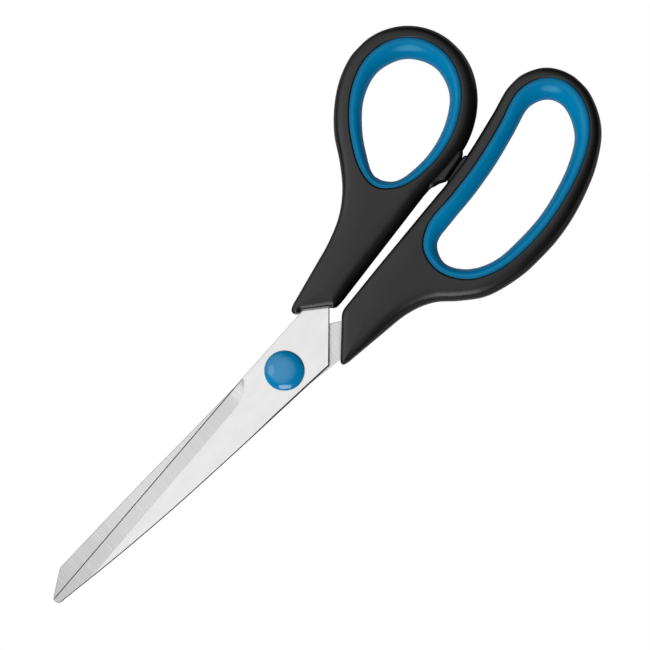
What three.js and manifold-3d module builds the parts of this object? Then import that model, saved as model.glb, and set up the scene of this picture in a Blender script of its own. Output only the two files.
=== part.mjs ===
// Office scissors. Two steel blades turn on one rivet. Each blade ends in a tang that is moulded
// into a plastic handle, and the loop of each handle is lined with a soft grip.
//
// Millimetres. X runs along the closed blades from the pivot to the tips, Y towards the finger
// loop and Z up along the pivot axis, towards the front. The origin is the centre of the rivet's
// rear face. Inside, the pieces are stacked about the plane where the two blades meet, z = 0.

import * as THREE from "three";
import { mergeVertices } from "three/addons/utils/BufferGeometryUtils.js";
import Module from "manifold-3d";

const wasm = await Module();
wasm.setup();

// Stack along the pivot.
const BLADE_THICKNESS = 1.8;
const BLADE_GAP = 0.1; // between the facing sides of the two blades
const HANDLE_THICKNESS = 10.5;
const FACE_GAP = 0.05; // between pieces clamped on each other by the rivet
const MOULDED_GAP = 0.3; // between a moulding and the piece that it holds

// Rivet, washer and cap.
const SHANK_RADIUS = 2.5;
const BORE_RADIUS = 2.6;
const REAR_HEAD = { radius: 4.2, thickness: 1.2, chamfer: 0.3 };
const FORMED_HEAD = { radius: 3.4, thickness: 0.75, chamfer: 0.4 };
const WASHER = { radius: 4.6, thickness: 0.5 };
const CAP = { radius: 5.75, rim: 0.5, height: 2.3, wall: 0.25 };

// Ground bevel of a blade, from the cutting edge up to the flat of the blade.
const EDGE_LAND = 0.35; // thickness left at the cutting edge
const BEVEL_SLOPE = 0.35; // rise per millimetre across the bevel

// Tang and the hole through it that the handle's plastic fills.
const LOCK_HOLE_RADIUS = 2;
const FRONT_LOCK = new THREE.Vector2(-38, -10.6);
const REAR_LOCK = new THREE.Vector2(-38, 6.2);

// Rounded edges: how far they reach in from the outline, and down from the face.
const HANDLE_ROUND = { width: 0.8, drop: 1.2, steps: 2 };
const GRIP_ROUND = { width: 3, drop: 4.4, steps: 3 };
const STOP_ROUND = { width: 0.5, drop: 0.5, steps: 1 };
const STOP_THICKNESS = 7.6;

// Facets: steps between two points of a curve, and sides of a round piece.
const CURVE_STEPS = 3;
const ROUND_SIDES = 32;

const bladeMid = (BLADE_GAP + BLADE_THICKNESS) / 2;
const bladeOuter = BLADE_GAP / 2 + BLADE_THICKNESS;
const rivetBack = -(bladeOuter + FACE_GAP + REAR_HEAD.thickness);

const steel = { color: 0xd6d7d6, roughness: 0.3, metalness: 1 };
const blackPlastic = { color: 0x2c2d2d, roughness: 0.5, metalness: 0 };
const blueRubber = { color: 0x0378ac, roughness: 0.55, metalness: 0 };
const bluePlastic = { color: 0x1f78b4, roughness: 0.2, metalness: 0 };
const rivetSteel = { color: 0xb9bab9, roughness: 0.35, metalness: 1 };

// ---- Outlines, seen from the front ----

const points = (pairs) => pairs.map(([x, y]) => new THREE.Vector2(x, y));

function closedCurve(pairs) {
  const curve = new THREE.CatmullRomCurve3(
    pairs.map(([x, y]) => new THREE.Vector3(x, y, 0)), true, "centripetal");
  const samples = curve.getPoints(pairs.length * CURVE_STEPS).slice(0, -1);
  return samples.map((p) => new THREE.Vector2(p.x, p.y));
}

// Thumb handle: slot side first, then round the loop and back along the shank to the nose.
function thumbHandleOutline() {
  const shape = new THREE.Shape();
  shape.moveTo(-15.6, -8.35);
  shape.lineTo(-21.7, -3.5);
  shape.quadraticCurveTo(-22.7, -1.8, -24.5, -2);
  shape.lineTo(-63, -6.7);
  shape.splineThru(points([
    [-71.5, -7.2], [-80.3, -7.9], [-87.7, -10.8], [-94, -15.8], [-98.3, -22.5], [-99.8, -30.3],
    [-98, -38.3], [-93.1, -44.8], [-86, -48.7], [-78, -49.4], [-70.2, -47], [-63.5, -42.7],
    [-57.8, -37.1], [-53.3, -30.5], [-48.1, -24.3], [-41.8, -19.6], [-34.4, -16.5],
    [-26.7, -14.4], [-15.2, -11.4],
  ]));
  shape.quadraticCurveTo(-11.8, -10.2, -14.2, -8.5);
  return shape;
}

// Finger handle, in the same order.
function fingerHandleOutline() {
  const shape = new THREE.Shape();
  shape.moveTo(-21.6, 1.6);
  shape.quadraticCurveTo(-23.1, -0.1, -25, -0.3);
  shape.lineTo(-39, -1.7);
  shape.lineTo(-58, -3.4);
  shape.splineThru(points([
    [-67, -4.2], [-74.5, -5.1], [-82, -6.35], [-93.4, -9], [-104, -11.4], [-112.4, -8.3],
    [-116.6, -1.7], [-116.8, 6.3], [-112.4, 15.3], [-104.6, 21.5], [-95.5, 25.6],
    [-85.9, 28.3], [-75.9, 29.4], [-66, 28.9], [-56.1, 26.3], [-49.5, 21.8], [-43.5, 16.5],
    [-36.1, 13.5], [-26, 12.3], [-14.5, 11.2],
  ]));
  shape.quadraticCurveTo(-12, 10.8, -13, 9.6);
  return shape;
}

const thumbHole = () => closedCurve([
  [-91.3, -28.6], [-89, -22.1], [-83.5, -17.6], [-76.1, -14.7], [-68.1, -13.9], [-60.3, -15.5],
  [-57.3, -20.4], [-60.2, -26.8], [-65, -33.2], [-71.2, -38.4], [-78.8, -40.7], [-86.4, -38.3],
  [-90.2, -33.6],
]);

const thumbSeam = () => closedCurve([
  [-96, -31.5], [-94.7, -24.9], [-90.6, -19.1], [-84, -14.5], [-76.4, -12], [-68.5, -11.5],
  [-60.6, -13.2], [-55.4, -18.1], [-55.5, -24], [-59.6, -32], [-65.5, -38.9], [-72.2, -43.6],
  [-80, -45.8], [-88, -44.2], [-93.7, -39.1],
]);

const fingerHole = () => closedCurve([
  [-109.1, 3.8], [-105.6, 11.6], [-98.9, 16], [-91, 18.9], [-82.6, 20.8], [-73.6, 21.3],
  [-64.5, 20.6], [-57.3, 17], [-53.7, 11], [-56.1, 5.6], [-63.1, 4.2], [-73.1, 3.3],
  [-84, 1.5], [-93.9, -1], [-102.2, -3.1], [-107.4, -0.8],
]);

const fingerSeam = () => closedCurve([
  [-114.6, 2.5], [-112.8, 9.2], [-107.7, 15], [-99.8, 19.3], [-91.3, 22], [-81.5, 23.9],
  [-71.6, 24.3], [-62.8, 23], [-55, 18.7], [-50.8, 11], [-52.4, 3.7], [-58.5, -0.2],
  [-68.5, -1.1], [-80.4, -2.7], [-92.2, -5.4], [-102.5, -8.4], [-109.4, -6.8],
  [-113.6, -2.5],
]);

// Stops behind the slot: a block on the thumb handle closes on a rib on the finger handle.
function stopBlock() {
  const shape = new THREE.Shape();
  shape.moveTo(-81, -10.5);
  shape.lineTo(-80.2, -7.8);
  shape.lineTo(-78.3, -6.63);
  shape.lineTo(-70.7, -5.23);
  shape.quadraticCurveTo(-68.6, -6.9, -63, -6.75);
  shape.lineTo(-62, -10.5);
  return shape;
}

function stopRib() {
  const shape = new THREE.Shape();
  shape.moveTo(-80.6, -3.5);
  shape.lineTo(-80.1, -6);
  shape.lineTo(-78.8, -6.35);
  shape.lineTo(-70.9, -4.93);
  shape.quadraticCurveTo(-70.1, -4.3, -66, -4.1);
  shape.lineTo(-66, -3);
  return shape;
}

// Front blade, from the heel corner along the spine to the tip, back along the cutting edge,
// and round the tang that runs into the thumb handle.
const FRONT_EDGE = points([[9.6, -7.05], [92.45, -1.1]]);

function frontBladeOutline() {
  const shape = new THREE.Shape();
  const [heelOfEdge, tipOfEdge] = FRONT_EDGE;
  shape.moveTo(-10, 8.1);
  shape.splineThru(points([[10, 7.25], [30, 6.3], [50, 5.15], [70, 3.45], [91.2, 1.05]]));
  shape.quadraticCurveTo(92.9, 0.7, tipOfEdge.x, tipOfEdge.y);
  shape.lineTo(heelOfEdge.x, heelOfEdge.y);
  shape.lineTo(-15.6, -8.3);
  shape.lineTo(-18, -9.2);
  shape.lineTo(-46, -14.8);
  shape.quadraticCurveTo(-49, -12.5, -46, -9);
  shape.lineTo(-24.6, -6.2);
  shape.lineTo(-21.9, -3.65);
  return shape;
}

// Rear blade, from the cutting edge's heel to the tip, back along the spine, and round the tang
// that runs into the finger handle. Its point is clipped from the spine.
const REAR_EDGE = points([[9.6, 6.6], [92, 0.2]]);

function rearBladeOutline() {
  const shape = new THREE.Shape();
  const [heelOfEdge, tipOfEdge] = REAR_EDGE;
  shape.moveTo(heelOfEdge.x, heelOfEdge.y);
  shape.lineTo(tipOfEdge.x, tipOfEdge.y);
  shape.quadraticCurveTo(92.7, -0.6, 91.8, -1.6);
  shape.lineTo(84.8, -6);
  shape.splineThru(points([[70, -6.3], [50, -6.6], [30, -6.65], [10, -6.85], [-6.5, -7.1]]));
  shape.quadraticCurveTo(-7.8, -7.1, -8.8, -6.5);
  shape.lineTo(-22, 1.9);
  shape.lineTo(-24.6, 2.9);
  shape.lineTo(-46, 3.4);
  shape.quadraticCurveTo(-49, 6.4, -46, 9.6);
  shape.lineTo(-17, 8.4);
  shape.lineTo(-13.2, 9.1);
  shape.lineTo(-6, 8.2);
  return shape;
}

// The part of a blade's width that the grinding wheel reaches. Its heel end is the curve that
// the wheel leaves where it runs out.
function groundArea(edge) {
  const side = Math.sign(edge[0].y);
  const heel = edge[0];
  const shape = new THREE.Shape();
  shape.moveTo(heel.x - 0.3, heel.y + side * 3);
  shape.lineTo(heel.x - 0.3, heel.y);
  shape.splineThru(points([
    [heel.x + 1, heel.y - side * 1.6], [heel.x + 3.4, heel.y - side * 3.3],
    [heel.x + 7.4, heel.y - side * 4.7], [heel.x + 12, heel.y - side * 5.5],
  ]));
  shape.lineTo(heel.x + 20, heel.y - side * 16);
  shape.lineTo(100, heel.y - side * 16);
  shape.lineTo(100, heel.y + side * 3);
  return shape;
}

// ---- Solids ----

function toSolid(geometry) {
  geometry.deleteAttribute("normal");
  geometry.deleteAttribute("uv");
  const merged = mergeVertices(geometry, 1e-4);
  return new wasm.Manifold(new wasm.Mesh({
    numProp: 3,
    vertProperties: merged.attributes.position.array,
    triVerts: new Uint32Array(merged.index.array),
  }));
}

function toGeometry(solid) {
  const { vertProperties, triVerts } = solid.getMesh();
  const geometry = new THREE.BufferGeometry();
  geometry.setAttribute("position", new THREE.BufferAttribute(vertProperties, 3));
  geometry.setIndex(new THREE.BufferAttribute(triVerts, 1));
  geometry.computeVertexNormals();
  return geometry;
}

// A plate between two heights. With a round, its edges are rounded off within the outline.
function plate(shape, bottom, top, round = { width: 0, drop: 0, steps: 0 }) {
  const geometry = new THREE.ExtrudeGeometry(shape, {
    depth: top - bottom - 2 * round.drop,
    curveSegments: CURVE_STEPS,
    bevelEnabled: round.steps > 0,
    bevelThickness: round.drop,
    bevelSize: round.width,
    bevelOffset: -round.width,
    bevelSegments: round.steps,
  });
  geometry.translate(0, 0, bottom + round.drop);
  return toSolid(geometry);
}

// The same plate grown, or with a negative growth shrunk, by one distance all round its outline.
function grownPlate(shape, bottom, top, growth) {
  const skin = Math.abs(growth);
  const geometry = new THREE.ExtrudeGeometry(shape, {
    depth: top - bottom - 2 * skin,
    curveSegments: CURVE_STEPS,
    bevelThickness: skin,
    bevelSize: 0,
    bevelOffset: growth,
    bevelSegments: 1,
  });
  geometry.translate(0, 0, bottom + skin);
  return toSolid(geometry);
}

function cylinder(radius, bottom, top, centre = new THREE.Vector2()) {
  const geometry = new THREE.CylinderGeometry(radius, radius, top - bottom, ROUND_SIDES);
  geometry.rotateX(Math.PI / 2);
  geometry.translate(centre.x, centre.y, (bottom + top) / 2);
  return toSolid(geometry);
}

function turned(profile) {
  const geometry = new THREE.LatheGeometry(points(profile), ROUND_SIDES);
  geometry.rotateX(Math.PI / 2);
  return toSolid(geometry);
}

// ---- Sub-parts ----

// A wedge of space over the bevel: everything above a plane that rises from the cutting edge.
function grindCut(edge, face) {
  const [heel, tip] = edge;
  const along = Math.atan2(tip.y - heel.y, tip.x - heel.x);
  const side = Math.sign(heel.y);
  const [length, width, depth] = [240, 80, 20];
  const wedge = new THREE.BoxGeometry(length, width, depth);
  wedge.translate(0, 0, face * depth / 2);
  wedge.rotateX(-side * face * Math.atan(BEVEL_SLOPE));
  wedge.rotateZ(along);
  wedge.translate(heel.x, heel.y, face * (BLADE_GAP / 2 + EDGE_LAND));
  const area = plate(groundArea(edge), -depth, depth);
  return toSolid(wedge).intersect(area);
}

// face is 1 for the front blade and -1 for the rear one: the side that is ground.
function blade(shape, edge, lock, face) {
  const bottom = face * bladeMid - BLADE_THICKNESS / 2;
  const top = face * bladeMid + BLADE_THICKNESS / 2;
  return plate(shape, bottom, top)
    .subtract(grindCut(edge, face))
    .subtract(cylinder(BORE_RADIUS, bottom - 1, top + 1))
    .subtract(cylinder(LOCK_HOLE_RADIUS, bottom - 1, top + 1, lock));
}

// The room that a blade's tang takes up in its handle, less the post through its lock hole.
function tangSocket(shape, lock, face) {
  const bottom = face * bladeMid - BLADE_THICKNESS / 2 - MOULDED_GAP;
  const top = face * bladeMid + BLADE_THICKNESS / 2 + MOULDED_GAP;
  const post = cylinder(LOCK_HOLE_RADIUS - MOULDED_GAP, bottom - 1, top + 1, lock);
  return grownPlate(shape, bottom, top, MOULDED_GAP).subtract(post);
}

function handle(outline, seam, stop, socket) {
  const half = HANDLE_THICKNESS / 2;
  return plate(outline, -half, half, HANDLE_ROUND)
    .add(plate(stop, -STOP_THICKNESS / 2, STOP_THICKNESS / 2, STOP_ROUND))
    .subtract(plate(new THREE.Shape(seam), -half - 1, half + 1))
    .subtract(socket);
}

// A soft lining that fills the handle's opening out to the seam and rounds off into the hole.
function grip(seam, hole) {
  const half = HANDLE_THICKNESS / 2;
  const block = new THREE.Shape(points([[-140, -70], [-30, -70], [-30, 50], [-140, 50]]));
  block.holes.push(new THREE.Path(hole));
  return plate(block, -half, half, GRIP_ROUND)
    .intersect(grownPlate(new THREE.Shape(seam), -half, half, -MOULDED_GAP));
}

function rivet() {
  const headFace = -(bladeOuter + FACE_GAP);
  const formed = bladeOuter + FACE_GAP + WASHER.thickness + FACE_GAP;
  const end = formed + FORMED_HEAD.thickness;
  return turned([
    [0, rivetBack],
    [REAR_HEAD.radius - REAR_HEAD.chamfer, rivetBack],
    [REAR_HEAD.radius, rivetBack + REAR_HEAD.chamfer],
    [REAR_HEAD.radius, headFace],
    [SHANK_RADIUS, headFace],
    [SHANK_RADIUS, formed],
    [FORMED_HEAD.radius, formed],
    [FORMED_HEAD.radius, end - FORMED_HEAD.chamfer],
    [FORMED_HEAD.radius - FORMED_HEAD.chamfer, end],
    [0, end],
  ]);
}

function washer() {
  const seat = bladeOuter + FACE_GAP;
  return cylinder(WASHER.radius, seat, seat + WASHER.thickness)
    .subtract(cylinder(BORE_RADIUS, seat - 1, seat + WASHER.thickness + 1));
}

// A shallow dome, hollow underneath where it is pressed over the washer and the formed head.
function cap() {
  const seat = bladeOuter + FACE_GAP;
  const overWasher = seat + WASHER.thickness + FACE_GAP + CAP.wall;
  const overHead = seat + WASHER.thickness + FACE_GAP + FORMED_HEAD.thickness + CAP.wall;
  const crown = CAP.height - CAP.rim;
  const steps = 5;
  const profile = [[0, seat], [CAP.radius, seat]];
  for (let i = 0; i <= steps; i++) {
    const angle = (i / steps) * (Math.PI / 2);
    profile.push([CAP.radius * Math.cos(angle), seat + CAP.rim + crown * Math.sin(angle)]);
  }
  profile[profile.length - 1][0] = 0;
  return turned(profile)
    .subtract(cylinder(WASHER.radius + CAP.wall, seat - 1, overWasher))
    .subtract(cylinder(FORMED_HEAD.radius + CAP.wall, seat - 1, overHead));
}

// ---- Assembly ----

const stack = new THREE.Group();
stack.position.z = -rivetBack;

function addPiece(name, solid, finish) {
  const mesh = new THREE.Mesh(toGeometry(solid), new THREE.MeshStandardMaterial(finish));
  mesh.name = name;
  stack.add(mesh);
}

const FRONT = 1;
const REAR = -1;
const frontBlade = frontBladeOutline();
const rearBlade = rearBladeOutline();
const frontSocket = tangSocket(frontBlade, FRONT_LOCK, FRONT);
const rearSocket = tangSocket(rearBlade, REAR_LOCK, REAR);

addPiece("front_blade", blade(frontBlade, FRONT_EDGE, FRONT_LOCK, FRONT), steel);
addPiece("rear_blade", blade(rearBlade, REAR_EDGE, REAR_LOCK, REAR), steel);
addPiece("thumb_handle",
  handle(thumbHandleOutline(), thumbSeam(), stopBlock(), frontSocket), blackPlastic);
addPiece("finger_handle",
  handle(fingerHandleOutline(), fingerSeam(), stopRib(), rearSocket), blackPlastic);
addPiece("thumb_grip", grip(thumbSeam(), thumbHole()), blueRubber);
addPiece("finger_grip", grip(fingerSeam(), fingerHole()), blueRubber);
addPiece("pivot_rivet", rivet(), rivetSteel);
addPiece("pivot_washer", washer(), rivetSteel);
addPiece("pivot_cap", cap(), bluePlastic);

const scissors = new THREE.Group();
scissors.name = "scissors";
scissors.add(stack);

export default scissors;
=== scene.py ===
# The looks of a pair of office scissors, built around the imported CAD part.
#
# The pieces are worked out in millimetres, and turned into metres where a mesh is made. The plan is
# seen from the front: x runs along the closed blades to their tips, and y towards the finger loop.
# Heights are counted from the plane where the two blades meet. Outlines and most heights come from
# the frame. The stage, the lights and the camera are in metres.

import math

import bpy
import numpy as np
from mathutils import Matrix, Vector


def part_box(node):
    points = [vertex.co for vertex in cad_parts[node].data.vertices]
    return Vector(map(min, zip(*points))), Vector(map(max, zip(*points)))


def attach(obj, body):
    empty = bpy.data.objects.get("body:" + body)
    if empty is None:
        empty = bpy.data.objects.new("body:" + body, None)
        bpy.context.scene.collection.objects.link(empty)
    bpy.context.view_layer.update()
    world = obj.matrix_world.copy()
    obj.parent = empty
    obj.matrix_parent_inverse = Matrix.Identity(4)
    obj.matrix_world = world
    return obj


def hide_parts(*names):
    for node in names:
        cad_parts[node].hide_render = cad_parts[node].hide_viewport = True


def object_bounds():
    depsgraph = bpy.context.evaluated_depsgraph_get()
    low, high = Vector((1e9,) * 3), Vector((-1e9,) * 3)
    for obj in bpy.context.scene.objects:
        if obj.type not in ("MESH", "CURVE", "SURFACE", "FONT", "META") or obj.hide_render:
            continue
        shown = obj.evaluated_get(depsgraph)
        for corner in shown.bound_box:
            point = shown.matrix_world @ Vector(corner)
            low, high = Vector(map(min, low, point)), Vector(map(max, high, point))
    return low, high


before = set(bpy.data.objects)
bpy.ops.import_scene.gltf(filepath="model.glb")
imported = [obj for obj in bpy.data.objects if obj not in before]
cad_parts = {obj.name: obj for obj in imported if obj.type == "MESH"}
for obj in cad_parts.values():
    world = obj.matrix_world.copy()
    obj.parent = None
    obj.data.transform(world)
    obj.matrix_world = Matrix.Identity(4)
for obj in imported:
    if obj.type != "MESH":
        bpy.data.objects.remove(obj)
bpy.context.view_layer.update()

MM = 0.001

# Heights taken from the frame.
FRONT_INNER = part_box("front_blade")[0].z / MM
REAR_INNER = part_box("rear_blade")[1].z / MM
MATING = (FRONT_INNER + REAR_INNER) / 2
BLADE_GAP = FRONT_INNER - REAR_INNER
BLADE_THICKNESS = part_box("front_blade")[1].z / MM - FRONT_INNER
HANDLE_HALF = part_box("thumb_handle")[1].z / MM - MATING

# Heights where outlines are read.
HANDLE_SLICE = 0.75  # share of a handle's half height, over the stop
STOP_SLICE = 0.8  # below the top of the stop
BLADE_SLICE = 0.05  # inside the blade, from its inner face

# Moulded handles. The roundover along an edge reaches further in where the edge faces the finger
# side, +Y. It is a length along the shank and a share of the wall beside a finger hole.
GRID_LEVELS = 34
LEVEL_CLEARANCE = 0.01  # the outermost levels pass the top and the underside by this
GRID_STEP = 2 * (HANDLE_HALF + LEVEL_CLEARANCE) / (GRID_LEVELS - 1)
GRID_MARGIN = 1.5
SHANK_ROUND = 2.0
SHANK_ROUND_TURN = 1.1  # added where the edge faces +Y, taken off where it faces -Y
NOSE_ROUND_SHARE = 0.55
NOSE_START = -32.0  # the shank's roundover shrinks from here to the nose
NOSE_END = -18.0
RING_ROUND = 0.52
RING_ROUND_TURN = 0.13
RING_END = -64.0  # the ring's roundover turns into the shank's from here
SHANK_START = -46.0
WIDEST_ROUND = 3.1
LEAST_ROUND = 0.6
LEAST_SHANK_ROUND = 0.8
DROP_PER_ROUND = 1.4  # how far the roundover reaches down, per millimetre across
CREASE_SLOPE = math.radians(15)
CREASE_BLEND = 0.3
CROWN_REACH = 7.0  # the top falls away from here to the edge
CROWN_DROP = 0.01  # per square millimetre
STOP_HALF = 3.8
STOP_ROUND = 0.75
STOP_LEAN = 0.3  # draft of the faces that meet when the scissors close
STOP_MIDDLE = (-73.5, -5.6)
STOP_REACH = (6.0, 4.0)
STOP_BLEND = 0.4
STOP_STARTS = 0.05  # the stop counts where it stands out from the outline by this much
STOP_COUNTS = 0.4  # and counts in full from here
STOP_SINK = 0.5  # keeps it below the surface where it doesn't count
SEAM_WALL = 0.05  # clearance between a handle and its soft grip
SEAM_ROUND = 0.3
TANG_CLEARANCE = 0.1
TANG_BLEND = 0.12
OUTLINE_GROWTH = 0.08  # a smooth outline runs outside the faceted one
BOX_ROUND = 0.2  # flattens the smooth outline softly where it would leave the box

# Soft grips.
GRIP_STATIONS = 480  # round the loop
GRIP_TOP = 5.2
GRIP_SEAM_TOP = 5.0
GRIP_SEAM_DEPTH = 0.8
GRIP_SEAM_ROUND = 1.15
GRIP_SEAM_SHARE = 0.4  # widest share of the grip that swells up from the seam
GRIP_DROP = 4.0
GRIP_SLOPE = 0.18
GRIP_LEAST_RISE = 0.3
GRIP_TONGUE = 0.12  # how far its sides are keyed into the handle, below the seam
# Painted shade: the grip is tinted darker this far from the seam, for the shade in the groove beside
# it.
SEAM_SHADE_WIDTH = 1.5  # darker beside the seam

# Blades.
EDGE_LAND = 0.35
BEVEL_SLOPE = 0.35
GRIND_START = 9.3
GRIND_FULL = 18.0
GRIND_BLEND = 3.0
GRIND_RUNOUT = 2.6  # power of the curve that the wheel leaves where it runs out
FACET_WIDTH = 0.28  # narrow facet along the cutting edge
FACET_LEAST = 0.1
FACET_DROP = 0.1  # the foot of the facet lies this far under it where the blade isn't ground
FACET_FOOT = 0.18
NARROW_SHARE = 0.12  # widest share of a narrow end that the facet or the chamfer takes
LEAST_BEVEL = 0.6
CREASE_SUPPORT = 0.15  # columns this far on either side of the crease keep the shading flat
WIDEST_BEVEL = 0.97  # share of the room between the facet and the chamfer
SPINE_CHAMFER = 0.3
STEEPEST_SPINE = 2.5
SHOULDER_CHAMFER = 0.2  # wider by this at the shoulder, back to the usual width further out
SHOULDER_MIDDLE = 2.0
SHOULDER_INNER = 6.0
SHOULDER_OUTER = 22.0
CHAMFER_DROP = 0.2
INNER_CORNER = 0.1
TIP_START = 55.0  # the ground faces darken from here to the tip
TIP_END = 92.0

# The surfaces of a blade, from column to column of its cross-section: the blunt edge, the facet,
# the bevel in two parts, the flat side in two parts, the chamfer along the spine, the spine, its
# inner corner and the inner face.
# The sheared faces (the facet, the chamfer, the spine and its inner corner) are tinted dark grey in the
# material: painted shade for the dark lines along the edges.
SATIN, GROUND, SHEARED_SHADED = range(3)
KINDS = (GROUND, SHEARED_SHADED, GROUND, GROUND, SATIN, SATIN, SHEARED_SHADED, SHEARED_SHADED, SHEARED_SHADED, GROUND)
SPINE_WALLS = slice(6, 9)
INNER_FACE = 9

# Pivot.
RIVET_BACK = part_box("pivot_rivet")[0].z / MM - MATING
RIVET_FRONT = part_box("pivot_rivet")[1].z / MM - MATING
RIVET_HEAD_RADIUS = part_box("pivot_rivet")[1].x / MM
RIVET_HEAD_FACE = RIVET_BACK + 1.2
RIVET_SHANK_RADIUS = 2.5
RIVET_FORMED_RADIUS = 3.4
WASHER_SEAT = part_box("pivot_washer")[0].z / MM - MATING
WASHER_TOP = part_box("pivot_washer")[1].z / MM - MATING
WASHER_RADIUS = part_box("pivot_washer")[1].x / MM
WASHER_BORE_RADIUS = 2.6
WASHER_ROUND = 0.1
CAP_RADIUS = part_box("pivot_cap")[1].x / MM
CAP_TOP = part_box("pivot_cap")[1].z / MM - MATING
CAP_RIM = 0.45
CAP_RIM_ROUND = 0.25
CAP_RIM_TURN = 50.0  # degrees of the rim's round before the dome starts
CAP_CLEARANCE = 0.15
PIVOT_GAP = 0.05

# Soft areas of the room's light: azimuth and zenith of the middle, the angles from it where the
# area begins and has ended to fade, and its strength.
ROOM_GLOWS = (
    (-60, 12, 12, 39, 1.25),
    (-75, 45, 20, 44, 0.88),
)
ROOM_AMBIENT = 0.03

# Camera, straight above the scissors, in metres.
SEEN_WIDTH = 0.18474
SEEN_CENTRE = (-0.01731, -0.000915)
PICTURE_UP = Vector((-0.7116, -0.7026, 0))


# ---- Outlines from the frame ----

def slice_node(node, height):
    """Closed outlines, in mm, where a level plane cuts a CAD node. The longest comes first."""
    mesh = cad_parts[node].data
    mesh.calc_loop_triangles()
    corners = np.array([v.co for v in mesh.vertices]) / MM
    next_point = {}
    for triangle in mesh.loop_triangles:
        points = [tuple(corners[i]) for i in triangle.vertices]
        ends = {}
        for a, b in zip(points, points[1:] + points[:1]):
            if (a[2] > height) != (b[2] > height):
                low, high = sorted((a, b))
                share = (height - low[2]) / (high[2] - low[2])
                ends[a[2] > height] = tuple(low[k] + share * (high[k] - low[k]) for k in (0, 1))
        if len(ends) == 2 and ends[True] != ends[False]:
            next_point[ends[True]] = ends[False]
    outlines = []
    while next_point:
        start, point = next_point.popitem()
        outline = [start]
        while point != start:
            outline.append(point)
            point = next_point.pop(point)
        outlines.append(without_straight_points(np.array(outline)))
    outlines = [outline for outline in outlines if len(outline) > 2]
    return sorted(outlines, key=perimeter, reverse=True)


def handle_outlines(name):
    """Outline of a handle over its stop, and its seam with the soft grip."""
    return slice_node(name, MATING + HANDLE_HALF * HANDLE_SLICE)[:2]


def blade_outlines(name, side):
    """Outline of a blade beside its inner face, and its holes."""
    return slice_node(name, MATING + side * (BLADE_GAP / 2 + BLADE_SLICE))


def perimeter(outline):
    return np.linalg.norm(np.roll(outline, -1, axis=0) - outline, axis=1).sum()


def without_straight_points(outline, tolerance=0.004):
    """Leaves out the points that lie on a straight side."""
    kept = [outline[0]]
    for point, after in zip(outline[1:], np.roll(outline, -1, axis=0)[1:]):
        chord, offset = after - kept[-1], point - kept[-1]
        if abs(chord[0] * offset[1] - chord[1] * offset[0]) > tolerance * np.linalg.norm(chord):
            kept.append(point)
    return np.array(kept)


def turn_angles(outline):
    """How far a closed outline turns at each of its points."""
    into = outline - np.roll(outline, 1, axis=0)
    out = np.roll(outline, -1, axis=0) - outline
    cross = into[:, 0] * out[:, 1] - into[:, 1] * out[:, 0]
    return np.abs(np.arctan2(cross, (into * out).sum(axis=1)))


def with_supports(outline, corner_reach, curve_reach=1.5, corner=math.radians(22)):
    """Adds points near the ends of long sides, so that a curve through them stays straight."""
    is_corner = turn_angles(outline) > corner
    points = []
    for i, start in enumerate(outline):
        j = (i + 1) % len(outline)
        side = outline[j] - start
        length = np.linalg.norm(side)
        points.append(start)
        reaches = [corner_reach if is_corner[k] else curve_reach for k in (i, j)]
        if length > 1.5 * sum(reaches):
            points.append(start + side * reaches[0] / length)
            points.append(start + side * (1 - reaches[1] / length))
    return np.array(points)


def closed_curve(points, step):
    """A centripetal Catmull-Rom curve through the points, sampled evenly."""
    samples = []
    for i in range(len(points)):
        p = [points[(i + k) % len(points)] for k in (-1, 0, 1, 2)]
        knots = np.concatenate([[0], np.cumsum([np.linalg.norm(b - a) ** 0.5
                                                for a, b in zip(p, p[1:])])])
        count = max(2, int(np.linalg.norm(p[2] - p[1]) / step) * 2)
        t = np.linspace(knots[1], knots[2], count, endpoint=False)[:, None]

        def blend(a, b, first, last):
            return (knots[last] - t) / (knots[last] - knots[first]) * a + (
                t - knots[first]) / (knots[last] - knots[first]) * b

        a1, a2, a3 = (blend(p[k], p[k + 1], k, k + 1) for k in range(3))
        b1, b2 = blend(a1, a2, 0, 2), blend(a2, a3, 1, 3)
        samples.append(blend(b1, b2, 1, 2))
    return resample(np.concatenate(samples), step)


def resample(outline, step):
    """Points spaced evenly along a closed outline."""
    loop = np.vstack([outline, outline[:1]])
    along = np.concatenate([[0], np.cumsum(np.linalg.norm(np.diff(loop, axis=0), axis=1))])
    count = int(round(along[-1] / step))
    wanted = np.linspace(0, along[-1], count, endpoint=False)
    return np.column_stack([np.interp(wanted, along, loop[:, k]) for k in (0, 1)])


def smooth_outline(outline, step=0.4, corner_reach=0.5):
    return closed_curve(with_supports(outline, corner_reach), step)


# ---- Implicit solids ----

def signed_distance(x, y, outline):
    """How far points lie inside a closed outline. It is negative outside."""
    start, end = outline, np.roll(outline, -1, axis=0)
    edge = end - start
    length_squared = (edge ** 2).sum(axis=1)
    result = np.empty(len(x))
    chunk = 4096
    for first in range(0, len(x), chunk):
        px = x[first:first + chunk, None] - start[:, 0]
        py = y[first:first + chunk, None] - start[:, 1]
        t = np.clip((px * edge[:, 0] + py * edge[:, 1]) / length_squared, 0, 1)
        gap_squared = (px - t * edge[:, 0]) ** 2 + (py - t * edge[:, 1]) ** 2
        crosses = (py < 0) != (py < edge[:, 1])
        left = px * edge[:, 1] < py * edge[:, 0]
        odd = (crosses & (left == (edge[:, 1] > 0))).sum(axis=1) % 2 == 1
        result[first:first + chunk] = np.where(odd, 1, -1) * np.sqrt(gap_squared.min(axis=1))
    return result


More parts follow.
